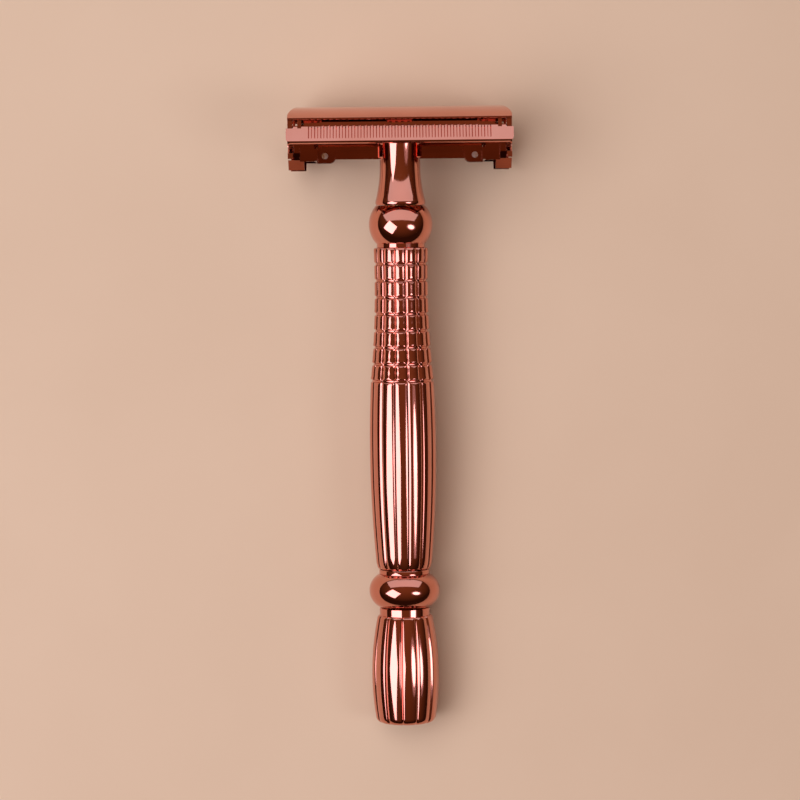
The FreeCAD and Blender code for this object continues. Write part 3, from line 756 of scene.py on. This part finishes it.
@dataclass
class Knob:
    """The ribbed knob that is turned to open the doors, in millimetres.

    Attributes:
        bore: Radius of the socket for the drive rod.
        rod_foot: Height of the socket's floor.
        pinhole: Radius at which the outline closes on the axis.
        radius: Radius of the knob at its fullest.
        middle: Height of that place.
        bend: Radius of the knob's bow.
        top: Height of the ribbed part.
        flat: Radius of the flat of the base.
        foot_at: Height at which the radius of the base's edge is taken.
        foot: Drop from that radius and height, round the base's edge.
        side_start: Height of the side's first plain point.
        side_step: Height between two points on the side.
        side_steps: Number of those points.
        crest: Distances from the top of the place where the radius is taken and of the point, with
            the drop from that radius between them, round the upper edge.
        lip: Radius and depth of the recess in the top.
        ring: Radius of the plain ring on the knob.
        ring_sink: How far the ring reaches into the recess.
        fine: Faces round the ring.
        ribs: The knob's ribs.
    """

    bore: float = 1.36
    rod_foot: float = 6.0
    pinhole: float = 0.02
    radius: float = 6.57
    middle: float = 9.6
    bend: float = 54.3
    top: float = 21.2
    flat: float = 2.6
    foot_at: float = 1.3
    foot: tuple[Point, ...] = ((1.45, 0.0), (0.95, 0.09), (0.52, 0.3), (0.22, 0.62), (0.06, 0.98),
                               (0.0, 1.35))
    side_start: float = 1.35
    side_step: float = 1.28
    side_steps: int = 14
    crest: tuple[tuple[float, float, float], ...] = ((0.75, 0.0, 0.75), (0.4, 0.03, 0.36),
                                                     (0.2, 0.14, 0.12), (0.0, 0.3, 0.0))
    lip: Point = (4.4, 0.5)
    ring: float = 4.92
    ring_sink: float = 0.4
    fine: int = 96
    ribs: Ribs = Ribs(count=12, turn_deg=8.0, body=radius, crown=0.19, groove=0.2, groove_share=0.22)

    def build(self) -> list[Object]:
        """Makes the knob.

        Returns:
            The ribbed part and the plain ring on it.
        """
        return [self.barrel(), self.collar()]

    def barrel(self) -> Object:
        """Ribbed part, with a flat base and a socket for the drive rod."""
        foot = self.side(self.foot_at)
        heights = [self.side_start + index * self.side_step for index in range(1, self.side_steps + 1)]
        lip, depth = self.lip
        floor = self.top - depth
        outline = [(self.pinhole, 0.0), (self.flat, 0.0)]
        outline += [(foot - drop, rise) for drop, rise in self.foot]
        outline += [(self.side(height), height) for height in heights]
        outline += [(self.side(self.top - at) - drop, self.top - fall) for at, drop, fall in self.crest]
        outline += [(lip, self.top), (lip, floor), (self.bore, floor), (self.bore, self.rod_foot),
                    (self.pinhole, self.rod_foot)]
        piece = turned("knob_ribbed", outline, self.ribs.segments, self.ribs.turn_deg)
        self.ribs.press(piece)
        settle(piece)
        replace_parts(piece, "twist_knob")
        return piece

    def collar(self) -> Object:
        """Plain ring on the knob."""
        foot, head = self.top - self.ring_sink, RAZOR.span("twist_knob")[1]
        outline = [(3.0, foot), (self.ring, foot), (self.ring, head - 0.12), (self.ring - 0.1, head),
                   (self.bore, head), (self.bore, foot)]
        return settle(turned("knob_collar", outline, self.fine))

    def side(self, height: float) -> float:
        """Radius of the knob's barrel at a height."""
        return self.radius - bow(self.bend, height - self.middle)


# --------------------------------------------------------------------------------------- the head
@dataclass
class Head:
    """The guard, the doors, the crosshead with its carriers, and the blade bridge.

    Attributes:
        edges: A CAD node, the name of the piece that stands for it, and the width in millimetres and
            the number of faces of its rounded edges.
    """

    edges: tuple[tuple[str, str, float, int], ...] = (
        ("base_plate", "guard_soft", 0.1, 2),
        ("door_front", "door_front_soft", 0.13, 3),
        ("door_rear", "door_rear_soft", 0.13, 3),
        ("carrier_left", "carrier_left_soft", 0.09, 2),
        ("carrier_right", "carrier_right_soft", 0.09, 2),
        ("crosshead_bar", "crosshead_bar_soft", 0.12, 2),
        ("blade_bridge", "blade_bridge_soft", 0.1, 2),
    )

    def build(self) -> list[Object]:
        """Makes the head's pieces.

        Returns:
            The finished pieces.
        """
        return [softened(*edge) for edge in self.edges]


# ------------------------------------------------------------------------------------- the studio
class LampShape(Enum):
    """Outline of a lamp's face."""

    SQUARE = "RECTANGLE"
    ROUND = "ELLIPSE"


class Lights(Enum):
    """What a lamp is for."""

    ALL = "table and metal"
    METAL = "reflections in the metal alone"
    TABLE = "the table alone"


@dataclass(frozen=True)
class Lamp:
    """A soft light with an even, glowing face.

    Attributes:
        name: Its name.
        place: Where its middle is, in metres.
        size: Width and height in metres.
        glow: Brightness of its face.
        tint: Colour.
        turn_deg: Turn about the way it looks.
        shape: Outline of its face.
        lights: What it lights.
    """

    name: str
    place: tuple[float, float, float]
    size: tuple[float, float]
    glow: float
    tint: tuple[float, float, float] = (0.86, 0.80, 1.0)
    turn_deg: float = 0.0
    shape: LampShape = LampShape.SQUARE
    lights: Lights = Lights.ALL

    def build(self, target: Vector) -> Object:
        """Adds the light.

        Args:
            target: The point it looks at.

        Returns:
            The light.
        """
        lamp = bpy.data.lights.new(self.name, "AREA")
        lamp.shape = self.shape.value
        lamp.size, lamp.size_y = self.size
        face = self.size[0] * self.size[1] * (math.pi / 4 if self.shape is LampShape.ROUND else 1.0)
        lamp.energy = self.glow * math.pi * face
        lamp.color = self.tint
        light = bpy.data.objects.new(self.name, lamp)
        away = Vector(self.place) - target
        light.location = self.place
        aim = away.to_track_quat("Z", "Y") @ Quaternion((0, 0, 1), math.radians(self.turn_deg))
        light.rotation_euler = aim.to_euler()
        light.visible_camera = False
        light.visible_glossy = self.lights is not Lights.TABLE
        light.visible_diffuse = self.lights is not Lights.METAL
        bpy.context.scene.collection.objects.link(light)
        return light


@dataclass
class Studio:
    """The table, the lights and the camera.

    Attributes:
        camera_place: Where the camera is, in metres.
        lens_mm: Its focal length.
        sensor_mm: Width of its sensor.
        roll_deg: Its turn about the way it looks.
        table_size: Width of the table in metres.
        room_way: The direction towards which the room grows lighter.
        room_stops: The room's colours along that direction.
        lamps: The lights.
    """

    camera_place: tuple[float, float, float] = (-0.0005, 0.0032, 0.6)
    lens_mm: float = 136.2
    sensor_mm: float = 36.0
    roll_deg: float = -0.63
    table_size: float = 6.0
    room_way: tuple[float, float, float] = (0.0, 0.5, 0.866)
    room_stops: tuple = ((0.0, colour(0.03, 0.012, 0.006)), (0.75, colour(0.18, 0.072, 0.03)),
                         (1.0, colour(0.24, 0.10, 0.045)))
    lamps: tuple[Lamp, ...] = (
        Lamp("left_softbox", (-0.472, -0.150, 0.595), (0.53, 0.50), 3.9, turn_deg=33),
        Lamp("right_softbox", (0.468, -0.135, 0.60), (0.21, 0.33), 4.5, shape=LampShape.ROUND),
        Lamp("right_halo", (0.472, -0.135, 0.605), (0.32, 0.48), 0.35, shape=LampShape.ROUND,
             lights=Lights.METAL),
        Lamp("head_card", (0.0, 0.122, 0.0955), (0.36, 0.168), 1.05, (0.72, 0.84, 1.0),
             lights=Lights.METAL),
        Lamp("table_fill", (-0.35, 0.25, 1.1), (1.1, 1.1), 2.35, lights=Lights.TABLE),
    )

    def build(self) -> None:
        """Sets the scene around the razor."""
        low, high = CAD_BOX
        middle = (Vector(low) + Vector(high)) / 2
        self.table(Vector(low).z)
        for lamp in self.lamps:
            lamp.build(middle)
        self.world()
        self.camera()

    def table(self, level: float) -> None:
        """Adds the table top."""
        deselect()
        bpy.ops.mesh.primitive_plane_add(size=self.table_size, location=(0, 0, level))
        top = bpy.context.object
        top.name = "table_top"
        top.data.materials.append(TableTop().material())

    def world(self) -> None:
        """Dim warm room, darkest towards the knob's end."""
        world = bpy.data.worlds.new("room")
        world.use_nodes = True
        tree = world.node_tree
        way = tree.nodes.new("ShaderNodeTexCoord").outputs["Generated"]
        slope = tree.nodes.new("ShaderNodeVectorMath")
        slope.operation = "DOT_PRODUCT"
        slope.inputs[1].default_value = self.room_way
        tree.links.new(way, slope.inputs[0])
        ramp = tree.nodes.new("ShaderNodeValToRGB")
        Shader.set_stops(ramp.color_ramp, self.room_stops)
        tree.links.new(slope.outputs["Value"], ramp.inputs["Fac"])
        tree.links.new(ramp.outputs["Color"], tree.nodes["Background"].inputs["Color"])
        bpy.context.scene.view_settings.view_transform = "Standard"
        bpy.context.scene.world = world

    def camera(self) -> None:
        """Adds the camera, straight above the handle."""
        seen = bpy.data.cameras.new("camera")
        seen.lens = self.lens_mm
        seen.sensor_width = self.sensor_mm
        view = bpy.data.objects.new("camera", seen)
        view.location = self.camera_place
        view.rotation_euler = (0, 0, math.radians(self.roll_deg))
        bpy.context.scene.collection.objects.link(view)
        bpy.context.scene.camera = view


# ------------------------------------------------------------------------------------ all together
BODY_OF = {node: body for body, nodes in frame["record"]["behaviour"]["bodies"].items() for node in nodes}
SLOT_OF = {part["node"]: part["material_slot"] for part in frame["record"]["subparts"]}


# Painted shade: the crosshead bar and its carriers are the same rose-gold plate as the rest. They get a darker,
# redder copy of it that stands for the shade and dark reflections under the head.
PAINTED_SHADE_NODES = ("crosshead_bar", "carrier_left", "carrier_right")


def dress(piece: Object, material: Material) -> None:
    """Gives an object one material."""
    piece.data.materials.clear()
    piece.data.materials.append(material)


def finishes() -> dict[str, Material]:
    """Makes the finishes.

    Returns:
        The material of each CAD node.
    """
    plate, steel, brass = PlatedMirror().material(), PlainSteel().material(), TurnedBrass().material()
    # Painted shade: a darker, redder copy of the rose-gold plate, for the pieces under the head.
    painted_shade_finish = PlatedMirror("painted_shade_plate", colour(0.36, 0.10, 0.055), colour(0.28, 0.075, 0.04)).material()
    of_slot = {"rose_gold_plate": plate, "door_plate": plate, "steel": steel, "brass": brass}
    return {node: of_slot[slot] for node, slot in SLOT_OF.items()} | dict.fromkeys(PAINTED_SHADE_NODES, painted_shade_finish)


def main() -> None:
    """Builds, dresses and reports every piece."""
    logging.basicConfig(level=logging.INFO, format="%(message)s")
    finish_at = finishes()
    for piece in Handle().build() + Knob().build() + Head().build():
        node = next(iter(piece.get("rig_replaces", [])), "twist_knob")   # the knob's ring replaces nothing
        dress(piece, finish_at[node])
        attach(piece, BODY_OF[node])
        LOG.info("%s: %d faces, rides on %s", piece.name, len(piece.data.polygons), BODY_OF[node])
    for name, node in frame["nodes"].items():
        dress(node, finish_at[name])
    Studio().build()


if __name__ == "__main__":
    main()
